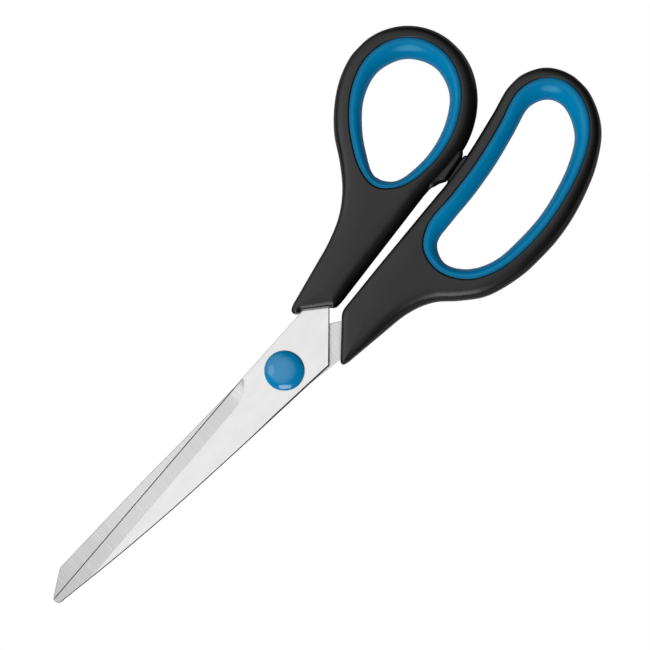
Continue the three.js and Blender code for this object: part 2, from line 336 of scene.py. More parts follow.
class PlanFields:
    """Distances to some outlines over the plan, kept on a grid and read smoothly between nodes."""

    def __init__(self, outlines, low, high):
        self.low = np.array(low)
        counts = np.ceil((np.array(high) - self.low) / GRID_STEP).astype(int) + 1
        self.x = self.low[0] + GRID_STEP * np.arange(counts[0])
        self.y = self.low[1] + GRID_STEP * np.arange(counts[1])
        grid_x, grid_y = (g.ravel() for g in np.meshgrid(self.x, self.y, indexing="ij"))
        self.values = {name: signed_distance(grid_x, grid_y, outline).reshape(counts)
                       for name, outline in outlines.items()}

    def on_grid(self):
        return {name: v[:, :, None] for name, v in self.values.items()}

    def at(self, x, y):
        u = (x - self.low[0]) / GRID_STEP
        v = (y - self.low[1]) / GRID_STEP
        i, j = np.floor(u).astype(int), np.floor(v).astype(int)
        across, up = cubic_weights(u - i), cubic_weights(v - j)
        read = {}
        for name, grid in self.values.items():
            read[name] = sum(
                across[a] * up[b] * grid[np.clip(i + a - 1, 0, grid.shape[0] - 1),
                                         np.clip(j + b - 1, 0, grid.shape[1] - 1)]
                for a in range(4) for b in range(4))
        return read


def cubic_weights(t):
    """Shares of four neighbours in a value read at t between the middle two."""
    return (-0.5 * t + t ** 2 - 0.5 * t ** 3, 1 - 2.5 * t ** 2 + 1.5 * t ** 3,
            0.5 * t + 2 * t ** 2 - 1.5 * t ** 3, -0.5 * t ** 2 + 0.5 * t ** 3)


def smooth_min(a, b, radius):
    """The lesser of two depths, with the edge between them rounded."""
    overlap = np.maximum(radius - np.abs(a - b), 0) / radius
    return np.minimum(a, b) - overlap ** 2 * radius / 4


def smooth_max(a, b, radius):
    return -smooth_min(-a, -b, radius)


def smooth_step(value, start, end):
    t = np.clip((value - start) / (end - start), 0, 1)
    return t * t * (3 - 2 * t)


def rounded_slab(inside, height, half, width, drop):
    """Depth inside a slab whose edges are rounded off, by an ellipse of that width and drop."""
    across = np.maximum(1 - inside / width, 0)
    up = np.maximum((np.abs(height) - (half - drop)) / drop, 0)
    reach = np.sqrt(across ** 2 + up ** 2)
    steepness = np.sqrt((across / width) ** 2 + (up / drop) ** 2)
    core = np.minimum(inside, half - np.abs(height))
    edge = (1 - reach) * reach / np.maximum(steepness, 1e-9)
    return np.where(reach > 1e-6, edge, core)


def surface_net(depth, low):
    """Vertices and quads of the surface where depth is zero. The solid is where it is positive."""
    inside = depth > 0
    cells = tuple(n - 1 for n in depth.shape)
    total = np.zeros(cells + (3,))
    count = np.zeros(cells)
    crossings = []
    for axis in range(3):
        others = [k for k in range(3) if k != axis]
        near = [slice(None)] * 3
        far = [slice(None)] * 3
        near[axis], far[axis] = slice(None, -1), slice(1, None)
        a, b = depth[tuple(near)], depth[tuple(far)]
        crossed = inside[tuple(near)] != inside[tuple(far)]
        share = np.where(crossed, a / np.where(crossed, a - b, 1), 0)
        for first in (0, 1):
            for second in (0, 1):
                window = [slice(None)] * 3
                window[others[0]] = slice(first, first + cells[others[0]])
                window[others[1]] = slice(second, second + cells[others[1]])
                hit = crossed[tuple(window)]
                total[..., axis] += share[tuple(window)]
                total[..., others[0]] += first * hit
                total[..., others[1]] += second * hit
                count += hit
        crossings.append((axis, others, crossed, inside[tuple(near)]))
    used = count > 0
    index = np.full(cells, -1)
    index[used] = np.arange(used.sum())
    place = np.argwhere(used) + total[used] / count[used][:, None]
    vertices = np.array(low) + place * GRID_STEP
    quads = []
    for axis, others, crossed, starts_inside in crossings:
        where = np.argwhere(crossed)
        ring = []
        for first, second in ((0, 0), (1, 0), (1, 1), (0, 1)):
            cell = where.copy()
            cell[:, others[0]] -= first
            cell[:, others[1]] -= second
            ring.append(index[tuple(cell.T)])
        ring = np.column_stack(ring)
        outward = starts_inside[crossed] == (axis == 1)
        quads.append(np.where(outward[:, None], ring[:, ::-1], ring))
    return vertices, np.concatenate(quads)


def settle(vertices, depth_at, rounds=2, nudge=0.01):
    """Moves vertices onto the surface where depth is zero, along the depth's own gradient."""
    for _ in range(rounds):
        here = depth_at(vertices)
        slope = np.column_stack([
            (depth_at(vertices + nudge * axis) - depth_at(vertices - nudge * axis)) / (2 * nudge)
            for axis in np.eye(3)])
        steep = np.maximum((slope ** 2).sum(axis=1), 0.25)
        move = -(here / steep)[:, None] * slope
        length = np.linalg.norm(move, axis=1, keepdims=True)
        vertices = vertices + move * np.minimum(1, 0.5 * GRID_STEP / np.maximum(length, 1e-9))
    return vertices


# ---- Meshes ----

def add_piece(name, vertices, faces, material, body, replaces):
    """Makes a visible piece, from vertices in mm whose heights count from the mating plane."""
    mesh = bpy.data.meshes.new(name)
    placed = (np.asarray(vertices) + (0, 0, MATING)) * MM
    mesh.from_pydata(placed.tolist(), [], [list(map(int, face)) for face in faces])
    mesh.validate()
    mesh.shade_smooth()
    mesh.materials.append(material)
    piece = bpy.data.objects.new(name, mesh)
    bpy.context.scene.collection.objects.link(piece)
    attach(piece, body)
    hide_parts(replaces)
    return piece


def keep_edges_sharp(piece, angle):
    """Shades a piece flat across the edges that turn by more than an angle in degrees."""
    piece.data.set_sharp_from_angle(angle=math.radians(angle))


def set_mask(piece, name, values, domain):
    """Stores one number for each point or face of a piece, for its material."""
    attribute = piece.data.attributes.new(name, "FLOAT", domain)
    attribute.data.foreach_set("value", np.asarray(values, dtype=np.float32))


# ---- Handles ----

def roundover(field, x):
    """How far the rounded edge reaches in from the outline at each place."""
    wall = field["outer"] - field["seam"]
    ring = np.minimum((RING_ROUND + RING_ROUND_TURN * field["facing"]) * wall, WIDEST_ROUND)
    shank = SHANK_ROUND + SHANK_ROUND_TURN * field["facing"]
    towards_nose = smooth_step(x, NOSE_START, NOSE_END)
    shank = np.maximum(shank * (1 - (1 - NOSE_ROUND_SHARE) * towards_nose), LEAST_SHANK_ROUND)
    along = smooth_step(x, RING_END, SHANK_START)
    return np.maximum(ring * (1 - along) + shank * along, LEAST_ROUND)


def handle_depth(field, x, height, side):
    """Depth inside a handle. field holds the distances to its outlines at each place."""
    width = roundover(field, x)
    top = HANDLE_HALF - CROWN_DROP * np.maximum(CROWN_REACH - field["outer"], 0) ** 2
    body = rounded_slab(field["outer"], height, top, width, DROP_PER_ROUND * width)
    crease = ((top - np.abs(height)) * math.cos(CREASE_SLOPE)
              + (field["outer"] - width) * math.sin(CREASE_SLOPE))
    body = smooth_min(body, crease, CREASE_BLEND)
    lean = STOP_LEAN * field["meeting"] * side * height / STOP_HALF
    stop = rounded_slab(field["union"] - lean, height, STOP_HALF, STOP_ROUND, STOP_ROUND)
    stands_out = smooth_step(field["union"] - field["outer"], STOP_STARTS, STOP_COUNTS)
    solid = smooth_max(body, stop - STOP_SINK * (1 - stands_out), STOP_BLEND)
    solid = smooth_min(solid, -field["seam"] - SEAM_WALL, SEAM_ROUND)
    return smooth_min(solid, -socket_depth(field, height, side), TANG_BLEND)


def socket_depth(field, height, side):
    """Depth inside the socket for a blade's tang, which leaves the peg in its lock hole."""
    blade_middle = side * (BLADE_GAP + BLADE_THICKNESS) / 2
    socket = np.minimum(field["tang"] + TANG_CLEARANCE,
                        BLADE_THICKNESS / 2 + TANG_CLEARANCE - np.abs(height - blade_middle))
    return np.minimum(socket, TANG_CLEARANCE - field["lock"])


def where_stops_meet(x, y):
    """1 at the two stops, falling to 0 around them."""
    near_x = np.abs(x - STOP_MIDDLE[0]) / STOP_REACH[0]
    near_y = np.abs(y - STOP_MIDDLE[1]) / STOP_REACH[1]
    return smooth_step(near_x, 1.2, 0.9) * smooth_step(near_y, 1.3, 0.8)


def keep_in_box(inside, name, x, y):
    """Flattens an outline softly where it would leave the box of its CAD node."""
    box_low, box_high = (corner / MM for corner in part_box(name))
    within_x = np.minimum(x - box_low.x, box_high.x - x)
    within_y = np.minimum(y - box_low.y, box_high.y - y)
    return smooth_min(smooth_min(inside, within_x, BOX_ROUND), within_y, BOX_ROUND)


def handle_fields(name, blade, side):
    """The distances that shape a handle, over its plan."""
    outer, seam = handle_outlines(name)
    union = slice_node(name, MATING + STOP_HALF - STOP_SLICE)[0]
    tang, *holes = blade_outlines(blade, side)
    lock = min(holes, key=lambda hole: hole[:, 0].mean())
    outlines = {
        "outer": smooth_outline(outer),
        "union": smooth_outline(union),
        "seam": smooth_outline(seam),
        "tang": smooth_outline(tang, corner_reach=0.2),
        "lock": smooth_outline(lock),
    }
    fields = PlanFields(outlines, union.min(axis=0) - GRID_MARGIN, union.max(axis=0) + GRID_MARGIN)
    values = fields.values
    x, y = fields.x[:, None], fields.y[None, :]
    values["meeting"] = where_stops_meet(x, y)
    for edge in ("outer", "union"):
        grown = values[edge] + OUTLINE_GROWTH * (1 - values["meeting"])
        values[edge] = keep_in_box(grown, name, x, y)
    values["facing"] = -np.gradient(values["outer"], GRID_STEP, axis=1)
    return fields


def build_handle(name, blade, side, body, material):
    fields = handle_fields(name, blade, side)
    half_count = GRID_LEVELS / 2 + 3
    levels = GRID_STEP * np.arange(0.5 - half_count, half_count)
    depth = handle_depth(fields.on_grid(), fields.x[:, None, None], levels[None, None, :], side)
    vertices, quads = surface_net(depth, (fields.low[0], fields.low[1], levels[0]))

    def depth_at(points):
        x, y, height = points.T
        return handle_depth(fields.at(x, y), x, height, side)

    vertices = settle(vertices, depth_at)
    add_piece(name + "_body", vertices, quads, material, body, name)


# ---- Soft grips ----

def build_grip(name, body, material):
    handle = name.replace("grip", "handle")
    hole = smooth_outline(slice_node(name, MATING)[1])
    seam = smooth_outline(handle_outlines(handle)[1])
    outer = resample(seam, perimeter(seam) / GRIP_STATIONS)
    inner = partners(outer, hole)
    band = np.linalg.norm(inner - outer, axis=1)[:, None]
    profile = grip_profile(band)
    rings = [np.column_stack([outer + (inner - outer) * reach / band, rise])
             for reach, rise in profile]
    size = len(outer)
    faces = []
    for k in range(len(rings)):
        here = k * size
        following = (k + 1) % len(rings) * size
        for i in range(size):
            j = (i + 1) % size
            faces.append((here + i, here + j, following + j, following + i))
    if signed_area(outer) < 0:
        faces = [face[::-1] for face in faces]
    piece = add_piece(name + "_soft", np.concatenate(rings), faces, material, body,
                      name)
    reaches = np.concatenate([reach.ravel() for reach, _ in profile])
    # The seam mask carries painted shade: it darkens the grip beside the seam, standing in for the
    # shade in the groove there.
    set_mask(piece, "seam", 1 - smooth_step(reaches, 0, SEAM_SHADE_WIDTH), "POINT")


def grip_profile(band):
    """Cross-section of a grip as wide as band: how far it has come from the seam, and height.

    It swells up from the seam, then rolls over into the hole. The underside mirrors the top."""
    level = np.zeros_like(band)
    top = [(level - GRIP_TONGUE, level + GRIP_SEAM_TOP - GRIP_SEAM_DEPTH)]
    swell = np.minimum(GRIP_SEAM_ROUND, GRIP_SEAM_SHARE * band)
    for angle in np.linspace(0, math.pi / 2, 9):
        rise = GRIP_SEAM_TOP + (GRIP_TOP - GRIP_SEAM_TOP) * math.sin(angle)
        top.append((swell * (1 - math.cos(angle)), level + rise))
    for angle in np.linspace(0, math.pi / 2, 25)[1:]:
        inward = (band - swell) * math.sin(angle)
        rise = GRIP_TOP - GRIP_DROP * (1 - math.cos(angle)) - GRIP_SLOPE * inward
        top.append((swell + inward, np.maximum(rise, GRIP_LEAST_RISE)))
    return top + [(reach, -rise) for reach, rise in reversed(top)]


def signed_area(outline):
    """Area inside a closed outline, negative where it runs clockwise."""
    x, y = outline.T
    return 0.5 * (x * np.roll(y, -1) - y * np.roll(x, -1)).sum()


def partners(outer, hole):
    """For each point of the outer loop, the point of the hole that its cross-section runs to."""
    dense = resample(hole, 0.1)
    if signed_area(dense) * signed_area(outer) < 0:
        dense = dense[::-1]
    gaps = ((outer[:, None, :] - dense[None, :, :]) ** 2).sum(axis=2)
    nearest = gaps.argmin(axis=1).astype(float)
    nearest = np.unwrap(nearest * 2 * math.pi / len(dense))
    even = np.linspace(0, 2 * math.pi, len(outer), endpoint=False)
    drift = nearest - even
    blur = 20
    window = np.hanning(2 * blur + 1)
    window /= window.sum()
    padded = np.concatenate([drift[-blur:], drift, drift[:blur]])
    drift = np.convolve(padded, window, mode="valid")
    place = (even + drift) / (2 * math.pi) * len(dense)
    index = np.floor(place).astype(int)
    part = (place - index)[:, None]
    return dense[index % len(dense)] * (1 - part) + dense[(index + 1) % len(dense)] * part


# ---- Blades ----

def edge_chains(outline):
    """Lower and upper boundary of a blade as two lists of points that run along x."""
    first, last = outline[:, 0].argmin(), outline[:, 0].argmax()
    loop = np.roll(outline, -first, axis=0)
    turn = (last - first) % len(outline)
    one, other = loop[:turn + 1], np.vstack([loop[turn:], loop[:1]])[::-1]
    chains = sorted((one, other), key=lambda chain: np.interp(0, chain[:, 0], chain[:, 1]))
    return [np.column_stack([np.maximum.accumulate(c[:, 0]), c[:, 1]]) for c in chains]


def stations(start, end, step=0.3, finest=0.02, growth=1.35):
    """Places along a blade: even, but closer towards the two ends."""
    ramp = []
    gap = finest
    while gap < step:
        ramp.append(gap)
        gap *= growth
    steps = np.cumsum(ramp)
    ends = np.append(0.01, steps)
    middle = np.arange(start + steps[-1] + step, end - steps[-1], step)
    return np.concatenate([start + ends, middle, end - ends[::-1]])


def build_blade(name, side, body, material):
    outline, *holes = blade_outlines(name, side)
    outline = smooth_outline(outline, step=0.15, corner_reach=0.15)
    outline[:, 1] *= side
    low_chain, high_chain = edge_chains(outline)
    x = stations(outline[:, 0].min(), outline[:, 0].max())
    lower = np.interp(x, *low_chain.T)
    spine = np.interp(x, *high_chain.T)
    columns = blade_columns(x, spine - lower, np.hypot(1, np.gradient(spine, x)))
    rings = np.stack([np.column_stack([x, lower + offset, BLADE_GAP / 2 + rise])
                      for offset, rise in columns], axis=1)
    vertices = rings.reshape(-1, 3) * (1, side, side)
    faces = loft_faces(len(x), len(columns))
    piece = add_piece(name + "_steel", vertices, faces, material, body, name)
    mark_surfaces(piece, x)
    for hole in holes:
        centre = (hole.min(axis=0) + hole.max(axis=0)) / 2
        bore(piece, centre, (hole.max(axis=0) - hole.min(axis=0)).mean() / 2)
    keep_edges_sharp(piece, 15)


def loft_faces(count, size):
    """Faces of a solid through a row of rings, with a face over each end."""
    faces = [tuple(range(size))]
    for i in range(count - 1):
        here = i * size
        following = here + size
        for k in range(size):
            j = (k + 1) % size
            faces.append((here + j, here + k, following + k, following + j))
    last = (count - 1) * size
    faces.append(tuple(last + k for k in reversed(range(size))))
    return faces


def mark_surfaces(piece, x):
    """Marks the ground faces of a blade with stations at x, and the sheared faces that are tinted dark
    as painted shade.
    """
    kinds = np.tile(KINDS, (len(x) - 1, 1))
    kinds[x[1:] < GRIND_START, :INNER_FACE] = SATIN
    kinds[:, SPINE_WALLS] = SHEARED_SHADED
    kinds = np.concatenate([[SHEARED_SHADED], kinds.ravel(), [SHEARED_SHADED]])
    set_mask(piece, "ground", kinds == GROUND, "FACE")
    set_mask(piece, "sheared_shaded", kinds == SHEARED_SHADED, "FACE")


def blade_columns(x, width, spine_steepness):
    """The cross-section at each station: offsets from the cutting edge, and heights."""
    runout = np.clip((GRIND_FULL - x) / (GRIND_FULL - GRIND_START), 0, 1) ** GRIND_RUNOUT
    rest = BLADE_THICKNESS - EDGE_LAND
    ground = smooth_step(x, GRIND_START, GRIND_START + GRIND_BLEND)
    taper = np.minimum(1, width)

    def top(offset):
        bevel = EDGE_LAND + BEVEL_SLOPE * offset + rest * runout
        return np.minimum(bevel, BLADE_THICKNESS)

    shoulder = smooth_step(np.abs(x - SHOULDER_MIDDLE), SHOULDER_OUTER, SHOULDER_INNER)
    chamfer = SPINE_CHAMFER + SHOULDER_CHAMFER * shoulder
    chamfer = np.minimum(chamfer * np.minimum(spine_steepness, STEEPEST_SPINE), NARROW_SHARE * width)
    facet = FACET_LEAST + (FACET_WIDTH - FACET_LEAST) * ground
    facet = np.minimum(facet, NARROW_SHARE * width)
    foot = (top(facet) - FACET_DROP) * (1 - ground) + FACET_FOOT * ground
    room = width - chamfer - facet
    crease = np.maximum(rest * (1 - runout) / BEVEL_SLOPE, LEAST_BEVEL)
    crease = np.minimum(crease, facet + WIDEST_BEVEL * room)
    before = crease - np.minimum(CREASE_SUPPORT, 0.3 * (crease - facet))
    after = crease + np.minimum(CREASE_SUPPORT, 0.3 * (facet + room - crease))
    columns = [(0 * x, 0 * x), (0 * x, foot)]
    columns += [(offset, top(offset)) for offset in (facet, before, crease, after)]
    spine = top(width - chamfer)
    columns.append((width - chamfer, spine))
    columns.append((width, spine - CHAMFER_DROP * taper))
    columns.append((width, 0 * x + INNER_CORNER))
    columns.append((width - INNER_CORNER * taper, 0 * x))
    return columns


def bore(piece, centre, radius, sides=64):
    """Cuts a round hole through a piece, along Z."""
    reach = 20.0
    angles = [2 * math.pi * k / sides for k in range(sides)]
    ring = [(centre[0] + radius * math.cos(a), centre[1] + radius * math.sin(a)) for a in angles]
    vertices = [(x * MM, y * MM, z * MM) for z in (-reach, reach) for x, y in ring]
    faces = [tuple(reversed(range(sides))), tuple(range(sides, 2 * sides))]
    faces += [(k, (k + 1) % sides, (k + 1) % sides + sides, k + sides) for k in range(sides)]
    mesh = bpy.data.meshes.new("bore")
    mesh.from_pydata(vertices, [], faces)
    cutter = bpy.data.objects.new("bore", mesh)
    bpy.context.scene.collection.objects.link(cutter)
    cut = piece.modifiers.new("bore", "BOOLEAN")
    cut.operation = "DIFFERENCE"
    cut.solver = "EXACT"
    cut.object = cutter
    bpy.context.view_layer.update()
    depsgraph = bpy.context.evaluated_depsgraph_get()
    whole = piece.data
    piece.data = bpy.data.meshes.new_from_object(piece.evaluated_get(depsgraph))
    piece.modifiers.clear()
    bpy.data.objects.remove(cutter)
    bpy.data.meshes.remove(mesh)
    bpy.data.meshes.remove(whole)


# ---- Pivot ----

def lathe(name, profile, material, replaces, sides=96):
    """Turns a closed profile of (radius, height) points, in mm, round the pivot axis."""
    vertices, rings = [], []
    for radius, height in profile:
        if radius == 0:
            rings.append([len(vertices)] * sides)
            vertices.append((0, 0, height))
            continue
        rings.append(list(range(len(vertices), len(vertices) + sides)))
        for k in range(sides):
            angle = 2 * math.pi * k / sides
            vertices.append((radius * math.cos(angle), radius * math.sin(angle), height))
    closed = profile[0][0] > 0
    pairs = list(zip(rings, rings[1:] + rings[:1] if closed else rings[1:]))
    faces = []
    for low, high in pairs:
        for k in range(sides):
            j = (k + 1) % sides
            corners = dict.fromkeys((low[k], low[j], high[j], high[k]))
            if len(corners) > 2:
                faces.append(tuple(corners))
    add_piece(name, vertices, faces, material, "finger_half", replaces)


def arc(centre, radii, start, end, steps):
    """Points of an elliptical arc in a profile. Angles are in degrees from outward to upward."""
    return [(centre[0] + radii[0] * math.cos(math.radians(a)),
             centre[1] + radii[1] * math.sin(math.radians(a)))
            for a in np.linspace(start, end, steps)]


def build_rivet(material):
    """A wide head at the back, the shank through both blades, and the formed front end."""
    profile = [(0, RIVET_BACK), (RIVET_HEAD_RADIUS * 0.3, RIVET_BACK)]
    profile += [(RIVET_HEAD_RADIUS - 0.5, RIVET_BACK + 0.02)]
    profile += arc((RIVET_HEAD_RADIUS - 0.4, RIVET_BACK + 0.4), (0.4, 0.38), -75, 0, 6)
    profile += arc((RIVET_HEAD_RADIUS - 0.08, RIVET_HEAD_FACE - 0.08), (0.08, 0.08), 0, 90, 3)
    profile += [(RIVET_SHANK_RADIUS, RIVET_HEAD_FACE)]
    profile += [(RIVET_SHANK_RADIUS, WASHER_TOP + PIVOT_GAP)]
    profile += [(RIVET_FORMED_RADIUS, WASHER_TOP + PIVOT_GAP)]
    profile += arc((RIVET_FORMED_RADIUS - 0.4, RIVET_FRONT - 0.4), (0.4, 0.4), 0, 90, 5)
    profile += [(0, RIVET_FRONT)]
    lathe("rivet_turned", profile, material, "pivot_rivet")


def build_washer(material):
    """A flat ring with its edges broken."""
    outer = WASHER_RADIUS - WASHER_ROUND
    inner = WASHER_BORE_RADIUS + WASHER_ROUND
    low = WASHER_SEAT + WASHER_ROUND
    high = WASHER_TOP - WASHER_ROUND
    corners = ((outer, low, -90), (outer, high, 0), (inner, high, 90), (inner, low, 180))
    profile = []
    for radius, height, angle in corners:
        profile += arc((radius, height), (WASHER_ROUND, WASHER_ROUND), angle, angle + 90, 3)
    lathe("washer_stamped", profile, material, "pivot_washer")


def build_cap(material):
    """A dome on a narrow rim, hollow where it covers the washer and the rivet's end."""
    over_washer = WASHER_TOP + PIVOT_GAP + CAP_CLEARANCE
    over_rivet = RIVET_FRONT + CAP_CLEARANCE
    pocket = RIVET_FORMED_RADIUS + CAP_CLEARANCE
    profile = [(0, over_rivet), (pocket, over_rivet), (pocket, over_washer)]
    pocket = WASHER_RADIUS + CAP_CLEARANCE
    profile += [(pocket, over_washer), (pocket, WASHER_SEAT)]
    profile += arc((CAP_RADIUS - 0.12, WASHER_SEAT + 0.12), (0.12, 0.12), -90, 0, 3)
    rim_middle = (CAP_RADIUS - CAP_RIM_ROUND, WASHER_SEAT + CAP_RIM)
    profile += arc(rim_middle, (CAP_RIM_ROUND, CAP_RIM_ROUND), 0, CAP_RIM_TURN, 4)
    crown, base = profile[-1]
    profile += arc((0, base), (crown, CAP_TOP - base), 4, 90, 24)[:-1]
    profile += [(0, CAP_TOP)]
    lathe("cap_domed", profile, material, "pivot_cap")


# ---- Materials ----

class Shading:
    """A material's nodes, with short calls to add and link them."""

    def __init__(self, name):
        self.material = bpy.data.materials.new(name)
        self.material.use_nodes = True
        self.tree = self.material.node_tree
        self.principled = self.tree.nodes["Principled BSDF"]
        self.place = self.node("ShaderNodeTexCoord").outputs["Object"]

    def node(self, kind, inputs=None, **settings):
        node = self.tree.nodes.new(kind)
        for key, value in settings.items():
            setattr(node, key, value)
        for key, value in (inputs or {}).items():
            self.set_input(node.inputs[key], value)
        return node

    def set_input(self, socket, value):
        if isinstance(value, bpy.types.NodeSocket):
            self.tree.links.new(value, socket)
        else:
            socket.default_value = value

    def shader(self, **values):
        for key, value in values.items():
            self.set_input(self.principled.inputs[key.replace("_", " ")], value)

    def noise(self, per_mm, detail=2.0, roughness=0.5, distortion=0.0):
        """Noise with that many waves per millimetre along each axis."""
        scale = [n / MM for n in per_mm]
        mapped = self.node("ShaderNodeMapping", {"Vector": self.place, "Scale": scale})
        return self.node("ShaderNodeTexNoise", {
            "Vector": mapped.outputs["Vector"], "Scale": 1.0, "Detail": detail,
            "Roughness": roughness, "Distortion": distortion}).outputs["Fac"]

    def spread(self, value, low, high, to_low=0.0, to_high=1.0):
        return self.node("ShaderNodeMapRange", {
            "Value": value, "From Min": low, "From Max": high,
            "To Min": to_low, "To Max": to_high}).outputs["Result"]

    def mix_colour(self, factor, first, second):
        node = self.node("ShaderNodeMix", data_type="RGBA")
        self.set_input(node.inputs[0], factor)
        self.set_input(node.inputs[6], first)
        self.set_input(node.inputs[7], second)
        return node.outputs[2]

    def mix(self, factor, first, second):
        node = self.node("ShaderNodeMix", data_type="FLOAT")
        self.set_input(node.inputs[0], factor)
        self.set_input(node.inputs[2], first)
        self.set_input(node.inputs[3], second)
        return node.outputs[0]

    def maths(self, operation, first, second=0.0):
        node = self.node("ShaderNodeMath", operation=operation)
        self.set_input(node.inputs[0], first)
        self.set_input(node.inputs[1], second)
        return node.outputs[0]

    def bump(self, height, depth_mm):
        inputs = {"Height": height, "Strength": 1.0, "Distance": depth_mm * MM}
        return self.node("ShaderNodeBump", inputs).outputs["Normal"]


def colour(red, green, blue):
    """A linear colour from sRGB levels of 0 to 255."""
    def linear(level):
        share = level / 255
        return share / 12.92 if share <= 0.04045 else ((share + 0.055) / 1.055) ** 2.4

    return (linear(red), linear(green), linear(blue), 1.0)


def black_plastic():
    look = Shading("black_plastic")
    patches = look.noise((0.05, 0.05, 0.05), detail=3)
    grain = look.noise((3.2, 3.2, 3.2), detail=2)
    tint = look.mix_colour(look.spread(patches, 0.3, 0.7), colour(5, 5, 5), colour(9, 9, 9))
    rough = look.maths("ADD", look.spread(patches, 0.3, 0.7, 0.33, 0.4),
                       look.spread(grain, 0.3, 0.7, -0.03, 0.03))
    look.shader(Base_Color=tint, Roughness=rough, Specular_IOR_Level=0.5,
                Normal=look.bump(grain, 0.012))
    return look.material


def soft_grip():
    look = Shading("blue_soft_grip")
    seam = look.node("ShaderNodeAttribute", attribute_name="seam").outputs["Fac"]
    patches = look.noise((0.06, 0.06, 0.06), detail=3)
    grain = look.noise((4, 4, 4), detail=2)
    rubber = look.mix_colour(look.spread(patches, 0.3, 0.7), colour(0, 127, 179), colour(0, 136, 190))
    # Painted shade: the grip is tinted darker beside the seam, for the shade in the groove between it
    # and the handle.
    tint = look.mix_colour(look.maths("MULTIPLY", seam, 0.5), rubber, colour(0, 62, 92))
    rough = look.maths("ADD", look.spread(patches, 0.3, 0.7, 0.19, 0.24),
                       look.spread(grain, 0.3, 0.7, -0.03, 0.03))
    look.shader(Base_Color=tint, Roughness=rough, Specular_IOR_Level=0.25,
                Specular_Tint=(0.42, 0.88, 1.0, 1.0),
                Normal=look.bump(grain, 0.008))
    return look.material


def cap_plastic():
    look = Shading("blue_plastic")
    patches = look.noise((0.25, 0.25, 0.25), detail=3)
    scuffs = look.noise((0.3, 3.0, 1.0), detail=3, distortion=0.6)
    tint = look.mix_colour(look.spread(patches, 0.3, 0.7), colour(0, 133, 188), colour(0, 141, 198))
    rough = look.maths("ADD", look.spread(patches, 0.3, 0.7, 0.09, 0.12),
                       look.spread(scuffs, 0.62, 0.75, 0, 0.03))
    look.shader(Base_Color=tint, Roughness=rough, Specular_IOR_Level=0.62,
                Normal=look.bump(patches, 0.005))
    return look.material


def blade_steel():
    look = Shading("blade_steel")
    ground = look.node("ShaderNodeAttribute", attribute_name="ground").outputs["Fac"]
    sheared_shaded = look.node("ShaderNodeAttribute", attribute_name="sheared_shaded").outputs["Fac"]
    along = look.node("ShaderNodeSeparateXYZ", {"Vector": look.place}).outputs["X"]
    tip = look.spread(along, TIP_START * MM, TIP_END * MM)
    cloud = look.noise((0.12, 0.3, 1.0), detail=3)
    polish = look.noise((0.5, 9.0, 1.0), detail=3)
    grinding = look.noise((3.6, 0.06, 0.06), detail=3, roughness=0.6)
    clouds = look.spread(cloud, 0.3, 0.7)
    lines = look.spread(grinding, 0.3, 0.7)
    satin = look.mix_colour(clouds, colour(216, 216, 216), colour(221, 221, 221))
    lined = look.mix_colour(lines, colour(203, 203, 203), colour(215, 215, 215))
    # The ground faces are tinted darker towards the tip.
    darker_to_tip = look.mix_colour(lines, colour(177, 177, 177), colour(191, 191, 191))
    tint = look.mix_colour(ground, satin, look.mix_colour(tip, lined, darker_to_tip))
    # Painted shade: the sheared faces are tinted dark grey for the dark lines along the cutting edge,
    # the spine and the shoulder.
    tint = look.mix_colour(sheared_shaded, tint, colour(128, 128, 129))
    rough = look.maths("ADD", look.mix(ground, 0.27, 0.33),
                       look.mix(ground, look.spread(polish, 0.3, 0.7, -0.005, 0.01),
                                look.spread(grinding, 0.3, 0.7, 0.03, -0.02)))
    depth = look.mix(ground, 0.00003, 0.0016)
    height = look.maths("MULTIPLY", look.mix(ground, polish, grinding), depth)
    look.shader(Base_Color=tint, Metallic=1.0, Roughness=rough, Normal=look.bump(height, 1.0))
    return look.material


def rivet_steel():
    look = Shading("rivet_steel")
    place = look.node("ShaderNodeSeparateXYZ", {"Vector": look.place})
    radius = look.maths("SQRT", look.maths(
        "ADD", look.maths("MULTIPLY", place.outputs["X"], place.outputs["X"]),
        look.maths("MULTIPLY", place.outputs["Y"], place.outputs["Y"])))
    ring_place = look.node("ShaderNodeCombineXYZ", {"X": look.maths("MULTIPLY", radius, 6 / MM)})
    turning = look.node("ShaderNodeTexNoise", {
        "Vector": ring_place.outputs["Vector"], "Scale": 1.0, "Detail": 3.0}).outputs["Fac"]
    patches = look.noise((0.3, 0.3, 0.3), detail=3)
    tint = look.mix_colour(look.spread(patches, 0.3, 0.7), colour(186, 187, 187), colour(206, 206, 205))
    rough = look.maths("ADD", look.spread(patches, 0.3, 0.7, 0.3, 0.38),
                       look.spread(turning, 0.3, 0.7, -0.05, 0.05))
    look.shader(Base_Color=tint, Metallic=1.0, Roughness=rough, Normal=look.bump(turning, 0.01))
    return look.material


# ---- Stage, light and camera ----

def add_stage(name, vertices, faces, base, glow):
    mesh = bpy.data.meshes.new(name)
    mesh.from_pydata(vertices, [], faces)
    stand = bpy.data.objects.new(name, mesh)
    bpy.context.scene.collection.objects.link(stand)
    look = Shading(name)
    look.shader(Base_Color=(base, base, base, 1), Roughness=0.9, Specular_IOR_Level=0.1,
                Emission_Color=(1, 1, 1, 1), Emission_Strength=glow)
    mesh.materials.append(look.material)
    return stand


